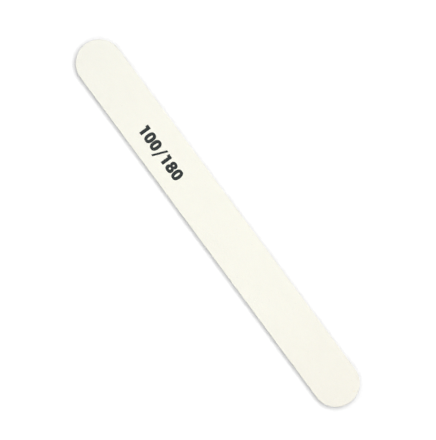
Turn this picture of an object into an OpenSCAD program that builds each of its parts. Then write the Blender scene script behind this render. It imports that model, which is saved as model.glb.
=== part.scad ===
// Emery board: a cushioned salon nail file, die-cut from a laminated sheet.
// The front face carries the coarse grit and the rear face the fine grit.
// Origin at the centre of the rear face, +X away from the marked end, +Z out of the front face.

/* [Outline] */
// Overall length, tip to tip
board_l = 178; // [120:1:220]
// Overall width, which both half-round ends follow
board_w = 19; // [14:0.5:28]

/* [Layers] */
// Thickness of the stiff plastic core
core_t = 0.8; // [0.4:0.05:1.6]
// Thickness of each foam cushion
cushion_t = 1.05; // [0.5:0.05:2]
// Thickness of each film of double-sided tape
tape_t = 0.08; // [0.04:0.01:0.2]
// Thickness of the paper that backs each abrasive sheet
paper_t = 0.22; // [0.1:0.01:0.4]
// Thickness of the coarse grit coat, on the front
coarse_t = 0.2; // [0.1:0.01:0.4]
// Thickness of the fine grit coat, on the rear
fine_t = 0.14; // [0.08:0.01:0.3]

/* [Cut side] */
// Radius that the die rolls over the rim of the front face
front_rim_r = 0.12; // [0.03:0.01:0.3]
// Bevel left on the rim of the rear face, where grains break away as the die comes out
rear_rim_bevel = 0.05; // [0.02:0.01:0.2]
// Depth to which the side of each cushion springs back, at half its height
cushion_dish = 0.16; // [0.04:0.01:0.24]
// Distance that each film of tape stops short of the cut side
tape_inset = 0.1; // [0:0.01:0.3]
// Distance that the core narrows from its rear edge to its front edge
core_taper = 0.05; // [0.01:0.01:0.2]

/* [Hidden] */

half_w = board_w / 2;
// Length of the straight sides, between the centres of the two ends
straight_l = board_l - board_w;
// Most of a coat's thickness that the radius or bevel on its rim may take
rim_share = 0.9;
// Steps round a full circle
round_fn = 96;

// Height of each layer's rear face, stacked from the rear grit coat upwards
z_rear_paper = fine_t;
z_rear_sheet_tape = z_rear_paper + paper_t;
z_rear_cushion = z_rear_sheet_tape + tape_t;
z_rear_core_tape = z_rear_cushion + cushion_t;
z_core = z_rear_core_tape + tape_t;
z_front_core_tape = z_core + core_t;
z_front_cushion = z_front_core_tape + tape_t;
z_front_sheet_tape = z_front_cushion + cushion_t;
z_front_paper = z_front_sheet_tape + tape_t;
z_coarse_coat = z_front_paper + paper_t;

// Carries half of a cross-section, drawn from its centre line outwards,
// along both straight sides and round both half-round ends
module die_cut_strip() {
  for (end = [0, 180])
    rotate([0, 0, end])
      translate([straight_l / 2, 0, 0])
        rotate([0, 0, -90])
          rotate_extrude(angle = 180, $fn = round_fn)
            children();
  for (side = [0, 1])
    mirror([0, side, 0])
      translate([-straight_l / 2, 0, 0])
        rotate([90, 0, 90])
          linear_extrude(height = straight_l)
            children();
}

// A layer with an upright side, inset from the cut side if it stops short of it
module square_section(t, inset = 0) {
  square([half_w - inset, t]);
}

// A layer with its outer rim rounded at the top
module rimmed_section(t, rim_r) {
  r = min(rim_r, t * rim_share);
  square([half_w - r, t]);
  square([half_w, t - r]);
  translate([half_w - r, t - r])
    intersection() {
      circle(r, $fn = round_fn);
      square(r);
    }
}

// A layer with its outer rim bevelled at the top
module bevelled_section(t, rim_bevel) {
  b = min(rim_bevel, t * rim_share);
  polygon([[0, 0], [half_w, 0], [half_w, t - b], [half_w - b, t], [0, t]]);
}

// A layer whose side is an arc, hollow at half height, that meets both faces at full width
module dished_section(t, dish) {
  dish_r = (t * t / 4 + dish * dish) / (2 * dish);
  difference() {
    square([half_w, t]);
    translate([half_w - dish + dish_r, t / 2])
      circle(dish_r, $fn = round_fn);
  }
}

// A layer that narrows towards its front face
module tapered_section(t, taper) {
  polygon([[0, 0], [half_w, 0], [half_w - taper, t], [0, t]]);
}

module tape_film(z) {
  color("gainsboro")
    translate([0, 0, z])
      die_cut_strip()
        square_section(tape_t, tape_inset);
}

module cushion(z) {
  color("lightgray")
    translate([0, 0, z])
      die_cut_strip()
        dished_section(cushion_t, cushion_dish);
}

module backing_paper(z) {
  color("linen")
    translate([0, 0, z])
      die_cut_strip()
        square_section(paper_t);
}

module core_board() {
  color("ghostwhite")
    translate([0, 0, z_core])
      die_cut_strip()
        tapered_section(core_t, core_taper);
}

module front_core_tape() {
  tape_film(z_front_core_tape);
}

module rear_core_tape() {
  tape_film(z_rear_core_tape);
}

module front_cushion() {
  cushion(z_front_cushion);
}

module rear_cushion() {
  cushion(z_rear_cushion);
}

module front_sheet_tape() {
  tape_film(z_front_sheet_tape);
}

module rear_sheet_tape() {
  tape_film(z_rear_sheet_tape);
}

module front_backing_paper() {
  backing_paper(z_front_paper);
}

module rear_backing_paper() {
  backing_paper(z_rear_paper);
}

module coarse_grit_coat() {
  color("ivory")
    translate([0, 0, z_coarse_coat])
      die_cut_strip()
        rimmed_section(coarse_t, front_rim_r);
}

// Turned over, so that its bevelled rim faces the rear
module fine_grit_coat() {
  color("ivory")
    translate([0, 0, fine_t])
      rotate([180, 0, 0])
        die_cut_strip()
          bevelled_section(fine_t, rear_rim_bevel);
}

core_board();
front_core_tape();
rear_core_tape();
front_cushion();
rear_cushion();
front_sheet_tape();
rear_sheet_tape();
front_backing_paper();
rear_backing_paper();
coarse_grit_coat();
fine_grit_coat();
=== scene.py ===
import math

import bpy
import numpy as np
from mathutils import Matrix, Vector


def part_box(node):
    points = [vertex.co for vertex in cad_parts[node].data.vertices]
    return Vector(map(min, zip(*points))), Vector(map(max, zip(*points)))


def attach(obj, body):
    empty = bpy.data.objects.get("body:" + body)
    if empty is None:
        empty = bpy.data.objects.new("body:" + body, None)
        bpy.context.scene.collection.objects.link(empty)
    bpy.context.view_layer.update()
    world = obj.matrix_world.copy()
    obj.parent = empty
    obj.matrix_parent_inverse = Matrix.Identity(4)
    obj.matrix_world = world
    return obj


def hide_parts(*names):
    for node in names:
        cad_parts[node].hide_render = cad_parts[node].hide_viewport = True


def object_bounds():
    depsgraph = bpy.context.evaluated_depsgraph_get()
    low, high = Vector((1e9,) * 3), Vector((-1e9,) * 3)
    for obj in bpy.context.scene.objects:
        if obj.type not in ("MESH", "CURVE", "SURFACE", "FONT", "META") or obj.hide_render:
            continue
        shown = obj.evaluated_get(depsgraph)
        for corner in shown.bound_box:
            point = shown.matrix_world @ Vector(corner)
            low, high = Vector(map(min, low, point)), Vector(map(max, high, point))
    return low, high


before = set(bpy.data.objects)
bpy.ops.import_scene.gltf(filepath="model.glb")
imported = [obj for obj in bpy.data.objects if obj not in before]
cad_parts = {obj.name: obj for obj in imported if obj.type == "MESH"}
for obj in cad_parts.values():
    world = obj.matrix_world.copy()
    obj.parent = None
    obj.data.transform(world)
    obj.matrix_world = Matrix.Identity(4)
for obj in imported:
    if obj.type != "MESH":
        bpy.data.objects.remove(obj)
cad_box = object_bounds()

# View
# The board lies flat on a pale floor. The camera looks straight down on its printed face, through a
# long lens, and the board slants across the picture with its numbers at the upper left.
mm = 0.001
low, high = cad_box
picture_side = 440  # pixels along the longer side of the picture
board_pixels = 445.4  # pixels from one tip of the board to the other
slant = math.radians(53.54)  # the board's +X, turned clockwise from the picture's right
board_right, board_down = -0.3, 3.2  # pixels from the picture's middle to the board's
camera_height = 1200 * mm  # above the printed face

pixel = (high.x - low.x) / board_pixels
right = Vector((math.cos(slant), math.sin(slant), 0))
up = Vector((-math.sin(slant), math.cos(slant), 0))
camera_place = (board_down * up - board_right * right) * pixel
camera_place.z = high.z + camera_height
lens = bpy.data.cameras.new("camera")
lens.lens = lens.sensor_width * camera_height / (picture_side * pixel)
lens.clip_start, lens.clip_end = 100 * mm, 10000 * mm
camera = bpy.data.objects.new("camera", lens)
bpy.context.scene.collection.objects.link(camera)
turned = Matrix((right, up, right.cross(up))).transposed().to_4x4()
camera.matrix_world = Matrix.Translation(camera_place) @ turned
bpy.context.scene.camera = camera

# Core board
# The stiff strip in the middle, which gives the file its spring. It is polystyrene sheet, and the die
# that cuts the whole laminate in one stroke leaves fine shear lines down its side.
core_color = (0.85, 0.865, 0.87, 1)


def node(tree, kind, inputs=None, **settings):
    """Adds a node to a tree: first its settings, then its inputs, each a socket to link or a value."""
    made = tree.nodes.new(kind)
    for name, value in settings.items():
        setattr(made, name, value)
    for name, value in (inputs or {}).items():
        if isinstance(value, bpy.types.NodeSocket):
            tree.links.new(value, made.inputs[name])
        else:
            made.inputs[name].default_value = value
    return made


def node_group(name, inputs, outputs):
    """A new shader node group with its input and output nodes.

    Inputs are names with a first value, and outputs are names with a socket type."""
    group = bpy.data.node_groups.new(name, "ShaderNodeTree")
    for label, value in inputs.items():
        kind = "NodeSocketColor" if isinstance(value, tuple) else "NodeSocketFloat"
        group.interface.new_socket(label, in_out="INPUT", socket_type=kind).default_value = value
    for label, kind in outputs.items():
        group.interface.new_socket(label, in_out="OUTPUT", socket_type=kind)
    return group, group.nodes.new("NodeGroupInput"), group.nodes.new("NodeGroupOutput")


def material(name):
    """A new node material, its tree and its Principled shader."""
    made = bpy.data.materials.new(name)
    made.use_nodes = True
    return made, made.node_tree, made.node_tree.nodes["Principled BSDF"]


# Cloudy change of a colour: the colour times 1 plus contrast times a noise that runs from about -1 to 1.
mottle, given, put = node_group(
    "mottle", {"Color": (1, 1, 1, 1), "Size": 1 * mm, "Contrast": 0.1}, {"Color": "NodeSocketColor"}
)
place = node(mottle, "ShaderNodeTexCoord").outputs["Object"]
per_metre = node(mottle, "ShaderNodeMath", {0: 1.0, 1: given.outputs["Size"]}, operation="DIVIDE")
cloud = node(
    mottle, "ShaderNodeTexNoise",
    {"Vector": place, "Scale": per_metre.outputs[0], "Detail": 3.0, "Roughness": 0.6},
)
swing = node(
    mottle, "ShaderNodeMapRange",
    {"Value": cloud.outputs["Fac"], "From Min": 0.3, "From Max": 0.7, "To Min": -1.0, "To Max": 1.0},
)
factor = node(
    mottle, "ShaderNodeMath",
    {0: swing.outputs[0], 1: given.outputs["Contrast"], 2: 1.0}, operation="MULTIPLY_ADD",
)
shaded = node(
    mottle, "ShaderNodeVectorMath",
    {0: given.outputs["Color"], "Scale": factor.outputs[0]}, operation="SCALE",
)
mottle.links.new(shaded.outputs[0], put.inputs["Color"])

# Lines that a die leaves on a cut side: noise that is stretched along Z, the way the die moves.
shear_lines, given, put = node_group(
    "shear_lines", {"Spacing": 0.1 * mm, "Length": 1 * mm}, {"Height": "NodeSocketFloat"}
)
place = node(shear_lines, "ShaderNodeTexCoord").outputs["Object"]
line_size = node(
    shear_lines, "ShaderNodeCombineXYZ",
    {"X": given.outputs["Spacing"], "Y": given.outputs["Spacing"], "Z": given.outputs["Length"]},
)
stretched = node(
    shear_lines, "ShaderNodeVectorMath", {0: place, 1: line_size.outputs[0]}, operation="DIVIDE"
)
lines = node(
    shear_lines, "ShaderNodeTexNoise", {"Vector": stretched.outputs[0], "Scale": 1.0, "Detail": 2.0}
)
shear_lines.links.new(lines.outputs["Fac"], put.inputs["Height"])

core_material, tree, shader = material("cut_polystyrene")
tint = node(tree, "ShaderNodeGroup", node_tree=mottle)
tint.inputs["Color"].default_value = core_color
tint.inputs["Size"].default_value = 3 * mm
tint.inputs["Contrast"].default_value = 0.02
cut = node(tree, "ShaderNodeGroup", node_tree=shear_lines)
cut.inputs["Spacing"].default_value = 0.15 * mm
cut.inputs["Length"].default_value = 2 * mm
bump = node(tree, "ShaderNodeBump", {"Height": cut.outputs["Height"], "Distance": 0.03 * mm})
gloss = node(tree, "ShaderNodeMapRange", {"Value": cut.outputs["Height"], "To Min": 0.35, "To Max": 0.6})
tree.links.new(tint.outputs["Color"], shader.inputs["Base Color"])
tree.links.new(gloss.outputs[0], shader.inputs["Roughness"])
tree.links.new(bump.outputs["Normal"], shader.inputs["Normal"])
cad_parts["core_board"].material_slots[0].material = core_material

# Tape films
# Double-sided tape holds each cushion to the core and each abrasive sheet to its cushion. Its clear
# acrylic film is slightly yellow and stops a little short of the cut side.
tape_color = (0.8, 0.79, 0.71, 1)

tape_material, tree, shader = material("acrylic_tape")
tint = node(tree, "ShaderNodeGroup", node_tree=mottle)
tint.inputs["Color"].default_value = tape_color
tint.inputs["Size"].default_value = 0.8 * mm
tint.inputs["Contrast"].default_value = 0.05
cut = node(tree, "ShaderNodeGroup", node_tree=shear_lines)
cut.inputs["Spacing"].default_value = 0.3 * mm
cut.inputs["Length"].default_value = 0.5 * mm
bump = node(tree, "ShaderNodeBump", {"Height": cut.outputs["Height"], "Distance": 0.02 * mm})
gloss = node(tree, "ShaderNodeMapRange", {"Value": cut.outputs["Height"], "To Min": 0.2, "To Max": 0.4})
tree.links.new(tint.outputs["Color"], shader.inputs["Base Color"])
tree.links.new(gloss.outputs[0], shader.inputs["Roughness"])
tree.links.new(bump.outputs["Normal"], shader.inputs["Normal"])
for name in ("front_core_tape", "rear_core_tape", "front_sheet_tape", "rear_sheet_tape"):
    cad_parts[name].material_slots[0].material = tape_material

# Foam cushions
# Two strips of light grey closed-cell polyethylene foam. They are squeezed while the die cuts them and
# then spring back, so that their sides end up hollow, and the cut opens the cells into small pits.
half_width = high.y
straight = 2 * (high.x - half_width)  # length of a straight side
outline_length = 2 * (half_width * math.pi + straight)
foam_dish = 0.16 * mm  # depth of the hollow at half height
foam_pitch = 0.07 * mm  # between points, round the side and up it
cell_size = 0.36 * mm  # of the foam's cells
cell_jitter = 0.35  # of the cell size, by which a cell's centre is out of place
pit_depth = 0.1 * mm  # of the deepest cells
least_depth = 0.4  # of the pit depth, in the shallowest cells
# The pits are painted darker than the foam: painted shade in the cut cells, the deeper the darker.
foam_color, pit_shade_color = (0.62, 0.625, 0.62, 1), (0.5, 0.505, 0.5, 1)
sharp_angle = math.radians(50)  # between two faces, past which their edge isn't smooth
seed = 178


def outline(count):
    """Evenly spaced points of the board's outline, counter-clockwise from the tip of the plain end.

    At a distance s along it the outline has turned by s over the half width on the three curved
    stretches, and on the two straight ones the nearest point of the board's axis moves instead.
    Gives the axis points and the outward directions."""
    quarter = half_width * math.pi / 2
    s = np.arange(count) / count * outline_length
    bend = np.clip(s, 0, quarter) + np.clip(s - quarter - straight, 0, 2 * quarter)
    bend += np.clip(s - 3 * quarter - 2 * straight, 0, quarter)
    back = np.clip(s - quarter, 0, straight) - np.clip(s - 3 * quarter - straight, 0, straight)
    angle = bend / half_width
    axis = np.stack([straight / 2 - back, np.zeros(count)], -1)
    return axis, np.stack([np.cos(angle), np.sin(angle)], -1)


def walls(rings):
    """Quads between rings of point numbers, the lowest first, each counter-clockwise. They face out."""
    ahead = np.roll(rings, -1, axis=1)
    return np.stack([rings[:-1], ahead[:-1], ahead[1:], rings[1:]], -1).reshape(-1, 4)


def lid(ring):
    """Closes a ring with strips across the board, from each point to its mirror image. It faces up."""
    half = len(ring) // 2
    near, far = ring[1:half], ring[:half:-1]
    strips = np.stack([near[:-1], near[1:], far[1:], far[:-1]], -1)
    tips = np.array([[ring[0], ring[1], ring[-1]], [ring[half - 1], ring[half], ring[half + 1]]])
    return strips, tips


def piece(name, points, quads, triangles):
    """A new object from arrays of points and of the faces' point numbers, with its sharp edges marked."""
    mesh = bpy.data.meshes.new(name)
    corners = np.concatenate([quads.ravel(), triangles.ravel()]).astype(np.int32)
    sides = np.repeat([4, 3], [len(quads), len(triangles)])
    mesh.vertices.add(len(points))
    mesh.vertices.foreach_set("co", points.astype(np.float32).ravel())
    mesh.loops.add(len(corners))
    mesh.loops.foreach_set("vertex_index", corners)
    mesh.polygons.add(len(sides))
    mesh.polygons.foreach_set("loop_start", (np.cumsum(sides) - sides).astype(np.int32))
    mesh.update(calc_edges=True)
    mesh.shade_smooth()
    mesh.set_sharp_from_angle(angle=sharp_angle)
    made = bpy.data.objects.new(name, mesh)
    bpy.context.scene.collection.objects.link(made)
    return made


def cut_cells(turn, rise, height, random):
    """How deep the surface lies in a cut cell, from 0 on the walls to 1.

    Cell centres sit on a jittered grid that closes on itself round the board. Each cell is a bowl: its
    own depth times 1 less three times the square of the distance to its centre, in cells."""
    around, high_up = round(outline_length / cell_size), round(height / cell_size) + 2
    grid = around, high_up
    centre_s = np.arange(around)[:, None] + random.uniform(-cell_jitter, cell_jitter, grid)
    centre_z = np.arange(high_up) - 0.5 + random.uniform(-cell_jitter, cell_jitter, grid)
    depth = random.uniform(least_depth, 1, grid)
    deep = np.zeros(np.broadcast(turn, rise).shape)
    column, row = np.floor(turn * around).astype(int), np.floor(rise / cell_size).astype(int) + 1
    for step in range(-1, 3):
        for climb in range(-1, 3):
            i, j = (column + step) % around, np.clip(row + climb, 0, high_up - 1)
            ds = (turn - centre_s[i, j] / around + 0.5) % 1 - 0.5
            dz = rise / cell_size - centre_z[i, j]
            bowl = 1 - 3 * ((ds * around) ** 2 + dz ** 2)
            deep = np.maximum(deep, depth[i, j] * bowl)
    return deep


def foam_cushion(node_name, random):
    """The space of a CAD cushion with a hollow, pitted side.

    Going up, the side lies in by a parabola that is foam_dish deep at half height, and by the cut
    cells, which fade out towards both faces."""
    bottom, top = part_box(node_name)
    height = top.z - bottom.z
    levels = round(height / foam_pitch) + 1
    count = 2 * round(outline_length / (2 * foam_pitch))
    axis, outward = outline(count)
    rise = np.linspace(0, height, levels)[:, None]
    share = rise / height
    deep = cut_cells(np.arange(count)[None, :] / count, rise, height, random)
    hollow = 4 * foam_dish * share * (1 - share)
    fade = np.minimum(1, 8 * share * (1 - share))
    reach = half_width - hollow - pit_depth * deep * fade
    flat = axis + reach[..., None] * outward
    points = np.concatenate([flat, np.broadcast_to(bottom.z + rise[..., None], reach.shape + (1,))], -1)
    rings = np.arange(levels * count).reshape(levels, count)
    over, over_tips = lid(rings[-1])
    under, under_tips = lid(rings[0])
    quads = np.concatenate([walls(rings), over, under[:, ::-1]])
    triangles = np.concatenate([over_tips, under_tips[:, ::-1]])
    made = piece("foam_" + node_name, points.reshape(-1, 3), quads, triangles)
    # Each point's depth in a cut cell, which the foam's colour reads as painted shade.
    pit_shade_layer = made.data.attributes.new("pit_shade", "FLOAT", "POINT")
    pit_shade_layer.data.foreach_set("value", (deep * fade).astype(np.float32).ravel())
    return made


foam_material, tree, shader = material("polyethylene_foam")
pit_shade = node(tree, "ShaderNodeAttribute", attribute_name="pit_shade").outputs["Fac"]
tint = node(tree, "ShaderNodeGroup", node_tree=mottle)
tint.inputs["Size"].default_value = 1.5 * mm
tint.inputs["Contrast"].default_value = 0.03
skin = node(tree, "ShaderNodeMix", {"Factor": pit_shade, "A": foam_color, "B": pit_shade_color}, data_type="RGBA")
tree.links.new(skin.outputs["Result"], tint.inputs["Color"])
wall = node(tree, "ShaderNodeTexVoronoi", {"Scale": 1 / (0.08 * mm)}, feature="DISTANCE_TO_EDGE")
tree.links.new(node(tree, "ShaderNodeTexCoord").outputs["Object"], wall.inputs["Vector"])
bump = node(tree, "ShaderNodeBump", {"Height": wall.outputs["Distance"], "Distance": 0.02 * mm})
tree.links.new(tint.outputs["Color"], shader.inputs["Base Color"])
tree.links.new(bump.outputs["Normal"], shader.inputs["Normal"])
shader.inputs["Roughness"].default_value = 0.9

random = np.random.default_rng(seed)
for name in ("front_cushion", "rear_cushion"):
    cushion = foam_cushion(name, random)
    cushion.data.materials.append(foam_material)
    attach(cushion, "root")
    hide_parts(name)

# Backing papers
# The latex-soaked paper that carries each grit coat. Only its cut edge shows, with the ends of its
# fibres lying along the sheet.
paper_color = (0.88, 0.86, 0.78, 1)
fibre_size = (0.4 * mm, 0.4 * mm, 0.03 * mm)  # along the sheet, and through it

paper_material, tree, shader = material("backing_paper")
place = node(tree, "ShaderNodeTexCoord").outputs["Object"]
in_fibres = node(tree, "ShaderNodeVectorMath", {0: place, 1: fibre_size}, operation="DIVIDE")
fibres = node(tree, "ShaderNodeTexNoise", {"Vector": in_fibres.outputs[0], "Scale": 1.0, "Detail": 4.0})
tint = node(tree, "ShaderNodeGroup", node_tree=mottle)
tint.inputs["Color"].default_value = paper_color
tint.inputs["Size"].default_value = 0.2 * mm
tint.inputs["Contrast"].default_value = 0.08
bump = node(tree, "ShaderNodeBump", {"Height": fibres.outputs["Fac"], "Distance": 0.04 * mm})
tree.links.new(tint.outputs["Color"], shader.inputs["Base Color"])
tree.links.new(bump.outputs["Normal"], shader.inputs["Normal"])
shader.inputs["Roughness"].default_value = 0.85
for name in ("front_backing_paper", "rear_backing_paper"):
    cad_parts[name].material_slots[0].material = paper_material

# Grit coats
# Cream aluminium oxide grains in resin with a dry, non-loading top coat: coarse on the front, fine on
# the rear. The die rolls the front rim over and breaks the grains away at the rear one.
grain_pitch = 0.21 * mm  # between the points of the relief
grain_jitter = 0.33  # of the pitch, by which a point is out of place
coarse_relief, fine_relief = 0.02 * mm, 0.009 * mm  # up and down from the middle of the face
coarse_grain, fine_grain = 0.15 * mm, 0.08 * mm
coarse_bump, fine_bump = 0.034 * mm, 0.02 * mm
front_rim = 0.12 * mm  # radius
rear_bevel = 0.05 * mm
rim_steps = 5
rim_roughness = 0.012 * mm
rim_relief = 0.3  # of the face's relief
ink_thickness = 0.016 * mm
coarse_color, fine_color = (0.955, 0.9455, 0.8525, 1), (0.955, 0.947, 0.864, 1)
grain_contrast = 0.036
tint_spread = (0.6, 0.43, 1)  # of the grains' contrast, in red, green and blue
# Painted shade at both ends of the grit faces, for the fall of the lamps' light, with the plain end warmer:
end_shade_from = 30 * mm  # from the middle of the board, to where the ends begin to darken
marked_end_tint, plain_end_tint = (0.972, 0.975, 0.981, 1), (0.981, 0.968, 0.967, 1)
stray_color, stray_strength = (0.28, 0.25, 0.2, 1), 0.34  # the strength is that of the darkest
fleck_color, fleck_strength = (0.955, 0.68, 0.1, 1), 0.13
fleck_place = (86.47 * mm, 4.05 * mm, high.z)
fleck_size = (0.65 * mm, 0.26 * mm, 1 * mm)  # from its middle, each way
fleck_turn = math.radians(69)


def grit_coat(node_name, face_up, out, drop, relief, room, random):
    """The space of a CAD grit coat, with a face of random grains and a rough rim.

    Face: q runs along the board and v from -1 to 1 across it. The axis point is q, but no further than
    the straight sides go, and p is what is left of q over the face's radius. Then x is the axis point
    plus radius * p * sqrt(1 - v^2 / 2), and y is radius * v * sqrt(1 - p^2 / 2), which fills both half
    round ends. Every inner point is moved at random by up to its jitter, and up or down by up to the
    relief, with room left free between the tallest grain and the box.
    Rim: each ring of the border goes out by out and down by drop, and a last one lies on the coat's
    back."""
    bottom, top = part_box(node_name)
    thickness = top.z - bottom.z
    radius = half_width - out[-1]
    reach = straight / 2 + radius
    columns, rows = 2 * round(reach / grain_pitch) + 1, 2 * round(radius / grain_pitch) + 1
    q, v = np.meshgrid(np.linspace(-reach, reach, columns), np.linspace(-1, 1, rows), indexing="ij")
    inner = (slice(1, -1), slice(1, -1))
    q[inner] += random.uniform(-grain_jitter, grain_jitter, q[inner].shape) * 2 * reach / (columns - 1)
    v[inner] += random.uniform(-grain_jitter, grain_jitter, v[inner].shape) * 2 / (rows - 1)
    axis = np.clip(q, -straight / 2, straight / 2)
    p = (q - axis) / radius
    x = axis + radius * p * np.sqrt(1 - v ** 2 / 2)
    y = radius * v * np.sqrt(1 - p ** 2 / 2)
    face_height = thickness - room - relief
    z = face_height + relief * random.uniform(-1, 1, x.shape)
    face = np.stack([x, y, z], -1)

    number = np.arange(columns * rows).reshape(columns, rows)
    a, b, c, d = number[:-1, :-1], number[1:, :-1], number[1:, 1:], number[:-1, 1:]
    one_way = np.stack([a, b, c, a, c, d], -1)
    other_way = np.stack([a, b, d, b, c, d], -1)
    split = random.random(a.shape + (1,)) < 0.5
    triangles = np.where(split, one_way, other_way).reshape(-1, 3)

    middle = rows // 2
    border = np.concatenate([
        number[-1, middle:], number[-2::-1, -1], number[0, -2::-1], number[1:, 0], number[-1, 1:middle],
    ])
    edge = face.reshape(-1, 3)[border]
    edge_axis = np.clip(edge[:, 0], -straight / 2, straight / 2)
    outward = np.stack([edge[:, 0] - edge_axis, edge[:, 1]], -1) / radius
    levels = len(out) + 1
    rough = rim_roughness * random.random((levels, len(border)))
    rough[-1] = 0
    ring_reach = radius + np.append(out, out[-1])[:, None] - rough
    ring_x = edge_axis + ring_reach * outward[:, 0]
    ring_y = ring_reach * outward[:, 1]
    uneven = rim_relief * relief * random.uniform(-1, 1, rough[:-1].shape)
    ring_z = np.zeros_like(rough)
    ring_z[:-1] = face_height - drop[:, None] + uneven
    rim = np.stack([ring_x, ring_y, ring_z], -1)

    rings = columns * rows + np.arange(levels * len(border)).reshape(levels, -1)
    rings = np.concatenate([rings[::-1], border[None, :]])
    under, under_tips = lid(rings[0])
    points = np.concatenate([face.reshape(-1, 3), rim.reshape(-1, 3)])
    quads = np.concatenate([walls(rings), under[:, ::-1]])
    triangles = np.concatenate([triangles, under_tips[:, ::-1]])
    if face_up:
        points[:, 2] = bottom.z + points[:, 2]
    else:
        points[:, 2] = top.z - points[:, 2]
        quads, triangles = quads[:, ::-1], triangles[:, ::-1]
    return piece("grains_" + node_name, points, quads, triangles)


# Grains seen closely: Voronoi crystals under a cloudy resin, as a height for bump. Each crystal has a
# tint of its own: the colour times 1 plus or minus up to the contrast times tint_spread.
grain, given, put = node_group(
    "grain", {"Color": (1, 1, 1, 1), "Size": coarse_grain, "Contrast": grain_contrast},
    {"Color": "NodeSocketColor", "Height": "NodeSocketFloat"},
)
place = node(grain, "ShaderNodeTexCoord").outputs["Object"]
per_metre = node(grain, "ShaderNodeMath", {0: 1.0, 1: given.outputs["Size"]}, operation="DIVIDE")
crystals = node(grain, "ShaderNodeTexVoronoi", {"Vector": place, "Scale": per_metre.outputs[0]})
resin = node(grain, "ShaderNodeTexNoise", {"Vector": place, "Scale": per_metre.outputs[0], "Detail": 4.0})
both = node(
    grain, "ShaderNodeMath",
    {0: resin.outputs["Fac"], 1: crystals.outputs["Distance"]}, operation="SUBTRACT",
)
grain.links.new(both.outputs[0], put.inputs["Height"])
own_tint = node(
    grain, "ShaderNodeVectorMath",
    {0: crystals.outputs["Color"], 1: [2 * spread for spread in tint_spread],
     2: [-spread for spread in tint_spread]},
    operation="MULTIPLY_ADD",
)
swing = node(
    grain, "ShaderNodeVectorMath",
    {0: own_tint.outputs[0], "Scale": given.outputs["Contrast"]}, operation="SCALE",
)
factor = node(grain, "ShaderNodeVectorMath", {0: swing.outputs[0], 1: (1, 1, 1)}, operation="ADD")
tinted = node(
    grain, "ShaderNodeVectorMath", {0: factor.outputs[0], 1: given.outputs["Color"]}, operation="MULTIPLY"
)
grain.links.new(tinted.outputs[0], put.inputs["Color"])

# Painted shade: both ends are painted a little darker, for the lamps' light that falls off towards them,
# and the plain one is painted warmer.
end_shade_and_tint, given, put = node_group("end_shade_and_tint", {"Color": (1, 1, 1, 1)}, {"Color": "NodeSocketColor"})
along = node(
    end_shade_and_tint, "ShaderNodeSeparateXYZ", {0: node(end_shade_and_tint, "ShaderNodeTexCoord").outputs["Object"]}
).outputs["X"]
from_middle = node(end_shade_and_tint, "ShaderNodeMath", {0: along}, operation="ABSOLUTE")
end_shade = node(
    end_shade_and_tint, "ShaderNodeMapRange",
    {"Value": from_middle.outputs[0], "From Min": end_shade_from, "From Max": high.x},
    interpolation_type="SMOOTHSTEP",
)
plain_half = node(end_shade_and_tint, "ShaderNodeMath", {0: along, 1: 0.0}, operation="GREATER_THAN")
end_tint = node(
    end_shade_and_tint, "ShaderNodeMix",
    {"Factor": plain_half.outputs[0], "A": marked_end_tint, "B": plain_end_tint}, data_type="RGBA",
)
tint = node(
    end_shade_and_tint, "ShaderNodeMix",
    {"Factor": end_shade.outputs[0], "A": (1, 1, 1, 1), "B": end_tint.outputs["Result"]}, data_type="RGBA",
)
tinted = node(
    end_shade_and_tint, "ShaderNodeVectorMath",
    {0: tint.outputs["Result"], 1: given.outputs["Color"]}, operation="MULTIPLY",
)
end_shade_and_tint.links.new(tinted.outputs[0], put.inputs["Color"])

# Stray dark grains: a point of the face is dark where the nearest of some scattered points lies within
# a grain's reach. About half of the scattered points count, and half of those at full strength.
stray, given, put = node_group(
    "stray_grains", {"Color": (1, 1, 1, 1), "Spacing": 7.5 * mm, "Size": 0.18 * mm},
    {"Color": "NodeSocketColor"},
)
place = node(stray, "ShaderNodeTexCoord").outputs["Object"]
per_metre = node(stray, "ShaderNodeMath", {0: 1.0, 1: given.outputs["Spacing"]}, operation="DIVIDE")
points = node(
    stray, "ShaderNodeTexVoronoi",
    {"Vector": place, "Scale": per_metre.outputs[0]}, voronoi_dimensions="2D",
)
reach = node(
    stray, "ShaderNodeMath", {0: given.outputs["Size"], 1: per_metre.outputs[0]}, operation="MULTIPLY"
)
near = node(
    stray, "ShaderNodeMapRange",
    {"Value": points.outputs["Distance"], "From Min": 0.0, "From Max": reach.outputs[0],
     "To Min": 1.0, "To Max": 0.0},
)
chance = node(stray, "ShaderNodeSeparateColor", {0: points.outputs["Color"]}).outputs["Red"]
counts = node(
    stray, "ShaderNodeMapRange",
    {"Value": chance, "From Min": 0.5, "From Max": 0.75, "To Max": stray_strength},
)
dark = node(stray, "ShaderNodeMath", {0: near.outputs[0], 1: counts.outputs[0]}, operation="MULTIPLY")
speckled = node(
    stray, "ShaderNodeMix",
    {"Factor": dark.outputs[0], "A": given.outputs["Color"], "B": stray_color}, data_type="RGBA",
)
# A warm fleck of resin shows faintly through the front face, near the tip of the plain end.
on_fleck = node(
    stray, "ShaderNodeMapping",
    {"Vector": place, "Location": fleck_place, "Rotation": (0, 0, fleck_turn), "Scale": fleck_size},
    vector_type="TEXTURE",
)
from_fleck = node(stray, "ShaderNodeVectorMath", {0: on_fleck.outputs[0]}, operation="LENGTH")
fleck = node(
    stray, "ShaderNodeMapRange",
    {"Value": from_fleck.outputs["Value"], "From Min": 0.6, "From Max": 1.2,
     "To Min": fleck_strength, "To Max": 0.0},
)
flecked = node(
    stray, "ShaderNodeMix",
    {"Factor": fleck.outputs[0], "A": speckled.outputs["Result"], "B": fleck_color}, data_type="RGBA",
)
stray.links.new(flecked.outputs["Result"], put.inputs["Color"])


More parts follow.
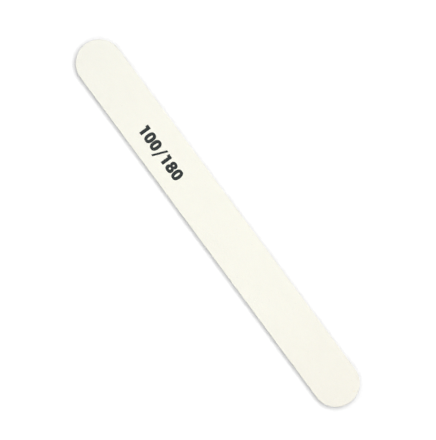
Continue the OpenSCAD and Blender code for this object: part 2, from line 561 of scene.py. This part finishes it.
def grit_material(name, color, grain_size, bump_height):
    """Cream grit: faint clouds, painted shade at the ends with a warmer plain end, a tint for each grain,
    stray grains and a grainy bump.
    """
    made, tree, shader = material(name)
    clouds = node(tree, "ShaderNodeGroup", node_tree=mottle)
    clouds.inputs["Color"].default_value = color
    clouds.inputs["Size"].default_value = 2.5 * mm
    clouds.inputs["Contrast"].default_value = 0.002
    ends = node(tree, "ShaderNodeGroup", {"Color": clouds.outputs["Color"]}, node_tree=end_shade_and_tint)
    grains = node(tree, "ShaderNodeGroup", {"Color": ends.outputs["Color"]}, node_tree=grain)
    grains.inputs["Size"].default_value = grain_size
    grains.inputs["Contrast"].default_value = grain_contrast
    speckled = node(tree, "ShaderNodeGroup", {"Color": grains.outputs["Color"]}, node_tree=stray)
    bump = node(tree, "ShaderNodeBump", {"Height": grains.outputs["Height"], "Distance": bump_height})
    tree.links.new(speckled.outputs["Color"], shader.inputs["Base Color"])
    tree.links.new(bump.outputs["Normal"], shader.inputs["Normal"])
    shader.inputs["Roughness"].default_value = 0.9
    shader.inputs["Specular IOR Level"].default_value = 0.25
    return made


turns = np.linspace(0, math.pi / 2, rim_steps + 1)[1:]
front_out, front_drop = front_rim * np.sin(turns), front_rim * (1 - np.cos(turns))
coarse_coat = grit_coat(
    "coarse_grit_coat", True, front_out, front_drop, coarse_relief, ink_thickness, random
)
coarse_coat.data.materials.append(grit_material("coarse_grit", coarse_color, coarse_grain, coarse_bump))
rear_step = np.array([rear_bevel])
fine_coat = grit_coat("fine_grit_coat", False, rear_step, rear_step, fine_relief, 0, random)
fine_coat.data.materials.append(grit_material("fine_grit", fine_color, fine_grain, fine_bump))
for coat, grade in ((coarse_coat, "coarse_grit"), (fine_coat, "fine_grit")):
    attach(coat, "root")
    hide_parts(grade + "_coat")

# Grit numbers
# The two grits, coarse and fine, printed in black on the coarse coat. The ink is a film that follows
# the grains, and the line of print runs down a little towards the plain end.
figure_height = 4.54 * mm
round_extra = 0.19 * mm  # round figures are this much taller
figure_pitch = 3.765 * mm
slash_pitch = 3.265 * mm
first_figure = Vector((-47.28 * mm, -3.63 * mm))  # middle of its foot
print_slope = math.radians(-0.52)
print_margin = 3 * mm  # round the line of print
print_length = 23 * mm  # from the middle of the first figure
ink_color = (0.022, 0.028, 0.028, 1)
ink_spread = 0.08 * mm  # past the edge of the figures, as the ink soaks in
ink_pitch = 0.05 * mm  # between the points of the film
ink_overlap = 0.003 * mm  # of the film and the grains
outline_steps = 4  # that bring the film's border to the outline
least_square = 0.1  # of the slope, which keeps each step short


def oval(x, y, width, height, square):
    """Below 0 inside an oval about (0, 0), and about the distance from its edge.

    It is the half width times (|x / half width|^n + |y / half height|^n)^(1/n) less 1. With n, which
    is square, at 2 it is an ellipse, and a higher n squares its shoulders."""
    across, along = np.abs(2 * x / width), np.abs(2 * y / height)
    return width / 2 * ((across ** square + along ** square) ** (1 / square) - 1)


def bar(x, y, left, right, foot, head, lean=0):
    """Below 0 between left and right and between foot and head. The sides lean by lean times the height."""
    x = x - lean * (y - foot)
    return np.maximum.reduce([left - x, x - right, foot - y, y - head])


def one(x, y):
    """A stem with a flag on its left."""
    stem = bar(x, y, left=-0.39 * mm, right=0.87 * mm, foot=0, head=figure_height)
    flag = bar(x, y, left=-1.05 * mm, right=0, foot=3.45 * mm, head=figure_height, lean=0.04)
    return np.minimum(stem, flag)


def zero(x, y):
    """An oval with a narrow oval counter."""
    y = y - figure_height / 2
    outer = oval(x, y, width=3.46 * mm, height=figure_height + round_extra, square=2.4)
    counter = oval(x, y, width=1 * mm, height=3.05 * mm, square=2.4)
    return np.maximum(outer, -counter)


def eight(x, y):
    """Two ovals that run into each other, each with a small counter."""
    upper = oval(x, y - 3.41 * mm, width=3.11 * mm, height=2.56 * mm, square=2.1)
    lower = oval(x, y - 1.26 * mm, width=3.5 * mm, height=2.83 * mm, square=2.25)
    upper_counter = oval(x, y - 3.28 * mm, width=0.75 * mm, height=0.92 * mm, square=2)
    lower_counter = oval(x, y - 1.42 * mm, width=0.99 * mm, height=1.03 * mm, square=2)
    return np.maximum.reduce([np.minimum(upper, lower), -upper_counter, -lower_counter])


def slash(x, y):
    """A thin leaning bar that reaches below the feet of the figures."""
    return bar(x, y, left=-1.57 * mm, right=-0.79 * mm, foot=-1.32 * mm, head=4.74 * mm, lean=0.387)


def line_of_print(x, y):
    """Below 0 inside the figures 100/180, which stand on the sloping line, grown by the ink's spread."""
    x, y = x - first_figure.x, y - first_figure.y
    x, y = (
        x * math.cos(print_slope) + y * math.sin(print_slope),
        y * math.cos(print_slope) - x * math.sin(print_slope),
    )
    after_slash = figure_pitch * 3 + slash_pitch
    slash_at = 2.5 * figure_pitch + slash_pitch / 2
    figures = (
        (one, 0), (zero, figure_pitch), (zero, 2 * figure_pitch), (slash, slash_at),
        (one, after_slash), (eight, after_slash + figure_pitch), (zero, after_slash + 2 * figure_pitch),
    )
    return np.minimum.reduce([figure(x - at, y) for figure, at in figures]) - ink_spread


def print_film():
    """A flat sheet of square cells in the outline of the print, above the board.

    A cell is kept if its middle lies inside. The points on the sheet's border then move onto the
    outline by Newton steps along the slope: the field over the square of the slope, or over
    least_square where that is more."""
    low_x, low_y = first_figure.x - print_margin, first_figure.y - print_margin
    high_x, high_y = first_figure.x + print_length + print_margin, first_figure.y + 2 * print_margin
    x, y = np.arange(low_x, high_x, ink_pitch), np.arange(low_y, high_y, ink_pitch)
    x, y = np.meshgrid(x, y, indexing="ij")
    kept = line_of_print(x[:-1, :-1] + ink_pitch / 2, y[:-1, :-1] + ink_pitch / 2) < 0
    number = np.arange(x.size).reshape(x.shape)
    cells = np.stack([number[:-1, :-1], number[1:, :-1], number[1:, 1:], number[:-1, 1:]], -1)[kept]
    uses = np.bincount(cells.ravel(), minlength=x.size)
    x, y = x.ravel(), y.ravel()
    border = (uses > 0) & (uses < 4)
    px, py = x[border], y[border]
    small = 0.001 * mm
    for _ in range(outline_steps):
        field = line_of_print(px, py)
        slope_x = (line_of_print(px + small, py) - line_of_print(px - small, py)) / (2 * small)
        slope_y = (line_of_print(px, py + small) - line_of_print(px, py - small)) / (2 * small)
        move = field / np.maximum(slope_x ** 2 + slope_y ** 2, least_square)
        px, py = px - move * slope_x, py - move * slope_y
    x[border], y[border] = px, py
    used = uses > 0
    points = np.stack([x, y, np.full(x.size, high.z + 1 * mm)], -1)[used]
    return points, (np.cumsum(used) - 1)[cells]


ink_material, tree, shader = material("black_ink")
tint = node(tree, "ShaderNodeGroup", node_tree=mottle)
tint.inputs["Color"].default_value = ink_color
tint.inputs["Size"].default_value = 0.3 * mm
tint.inputs["Contrast"].default_value = 0.35
grains = node(tree, "ShaderNodeGroup", node_tree=grain)
grains.inputs["Size"].default_value = coarse_grain
bump = node(tree, "ShaderNodeBump", {"Height": grains.outputs["Height"], "Distance": 0.02 * mm})
tree.links.new(tint.outputs["Color"], shader.inputs["Base Color"])
tree.links.new(bump.outputs["Normal"], shader.inputs["Normal"])
shader.inputs["Roughness"].default_value = 0.7
shader.inputs["Specular IOR Level"].default_value = 0.2

film_points, film_quads = print_film()
numbers = piece("grit_numbers", film_points, film_quads, np.zeros((0, 3), int))
drape = numbers.modifiers.new("drape", "SHRINKWRAP")
drape.target = coarse_coat
drape.wrap_method = "PROJECT"
drape.wrap_mode = "ABOVE_SURFACE"
drape.use_project_z = True
drape.use_positive_direction = False
drape.use_negative_direction = True
drape.offset = ink_thickness
thicken = numbers.modifiers.new("thicken", "SOLIDIFY")
thicken.thickness = ink_thickness + ink_overlap
thicken.offset = -1
draped = numbers.evaluated_get(bpy.context.evaluated_depsgraph_get())
numbers.data = bpy.data.meshes.new_from_object(draped)
numbers.modifiers.clear()
numbers.data.materials.append(ink_material)
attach(numbers, "root")

# Floor and light
# A plain white floor under two oval lamps, both longer along the board than across it. The broad one
# hangs about straight above, and the small one is tipped towards the tops of the numbers, so that the
# shadow falls on the other side.
lamp_distance = 1200 * mm
broad_share, small_share, fill = 0.525, 0.44, 0.035  # of the light on the floor
broad_size = math.radians(46), math.radians(28)  # angular radius along the board and across it
small_size = math.radians(22), math.radians(12.5)
broad_tilt = math.radians(-1), math.radians(-7)  # towards +X and towards +Y
small_tilt = math.radians(-0.6), math.radians(19.3)
lamp_points = 2000  # at which a lamp's light is added up
floor_size = 8000 * mm
floor_white = 0.95
floor_margin = 0.004  # by which the free floor is more than white
shadow_reach, plain_reach = 3 * mm, 30 * mm  # from the board, to where shadow falls and to plain white


def lamp(name, share, size, tilt):
    """An oval lamp that faces the board.

    Points spread over it lie at the distance times the lamp's own direction, plus its two radii times
    the sine and cosine of a spiral. It lights a white floor to its share if its power is the share
    times pi squared, over the mean of both cosines over the square of the way to the board."""
    z = Vector((math.tan(tilt[0]), math.tan(tilt[1]), 1)).normalized()
    x = (Vector((1, 0, 0)) - z.x * z).normalized()
    y = z.cross(x)
    radii = [lamp_distance * math.tan(angle) for angle in size]
    step = np.arange(lamp_points) + 0.5
    reach, turn = np.sqrt(step / lamp_points), step * math.pi * (3 - math.sqrt(5))
    spots = lamp_distance * np.array(z) + np.outer(radii[0] * reach * np.cos(turn), x)
    spots += np.outer(radii[1] * reach * np.sin(turn), y)
    way = np.linalg.norm(spots, axis=1)
    light = bpy.data.lights.new(name, "AREA")
    light.shape = "ELLIPSE"
    light.size, light.size_y = 2 * radii[0], 2 * radii[1]
    light.energy = share * math.pi ** 2 / np.mean(lamp_distance * spots[:, 2] / way ** 4)
    made = bpy.data.objects.new(name, light)
    made.matrix_world = Matrix.Translation(lamp_distance * z) @ Matrix((x, y, z)).transposed().to_4x4()
    made.visible_camera = False
    bpy.context.scene.collection.objects.link(made)


def seen(tree):
    """1 on rays from the camera, and on rays that a mirror or glass passes on from it."""
    path = node(tree, "ShaderNodeLightPath").outputs
    mirrored = node(
        tree, "ShaderNodeMath", {0: path["Is Camera Ray"], 1: path["Is Glossy Ray"]}, operation="MAXIMUM"
    )
    passed_on = node(
        tree, "ShaderNodeMath",
        {0: mirrored.outputs[0], 1: path["Is Transmission Ray"]}, operation="MAXIMUM",
    )
    return passed_on.outputs[0]


lamp("broad", broad_share, broad_size, broad_tilt)
lamp("small", small_share, small_size, small_tilt)

world = bpy.data.worlds.new("studio")
world.use_nodes = True
bpy.context.scene.world = world
tree = world.node_tree
strength = node(tree, "ShaderNodeMath", {0: seen(tree), 1: 1 - fill, 2: fill}, operation="MULTIPLY_ADD")
tree.nodes["Background"].inputs["Color"].default_value = (1, 1, 1, 1)
tree.links.new(strength.outputs[0], tree.nodes["Background"].inputs["Strength"])

floor_corners = floor_size / 2 * np.array([[-1, -1, 0], [1, -1, 0], [1, 1, 0], [-1, 1, 0.0]])
floor = piece("floor", floor_corners, np.array([[0, 1, 2, 3]]), np.zeros((0, 3), int))
floor_material, tree, shader = material("white_floor")
shader.inputs["Roughness"].default_value = 1
shader.inputs["Specular IOR Level"].default_value = 0
shader.inputs["Base Color"].default_value = (floor_white, floor_white, floor_white, 1)
# What the camera sees is lifted by just what the floor lacks to be white, which leaves the shadow.
# Past the shadow's reach it goes over to plain white.
place = node(tree, "ShaderNodeTexCoord").outputs["Object"]
axis_end = (straight / 2, 0, 0)
not_past = node(tree, "ShaderNodeVectorMath", {0: place, 1: axis_end}, operation="MINIMUM")
on_axis = node(
    tree, "ShaderNodeVectorMath", {0: not_past.outputs[0], 1: (-straight / 2, 0, 0)}, operation="MAXIMUM"
)
from_axis = node(tree, "ShaderNodeVectorMath", {0: place, 1: on_axis.outputs[0]}, operation="DISTANCE")
lift = node(
    tree, "ShaderNodeMapRange",
    {"Value": from_axis.outputs["Value"], "From Min": half_width + shadow_reach,
     "From Max": half_width + plain_reach, "To Min": 1 - floor_white + floor_margin, "To Max": 1.0},
    interpolation_type="SMOOTHSTEP",
)
shown_lift = node(tree, "ShaderNodeMath", {0: lift.outputs[0], 1: seen(tree)}, operation="MULTIPLY")
shader.inputs["Emission Color"].default_value = (1, 1, 1, 1)
tree.links.new(shown_lift.outputs[0], shader.inputs["Emission Strength"])
floor.data.materials.append(floor_material)

bpy.context.scene.view_settings.view_transform = "Standard"
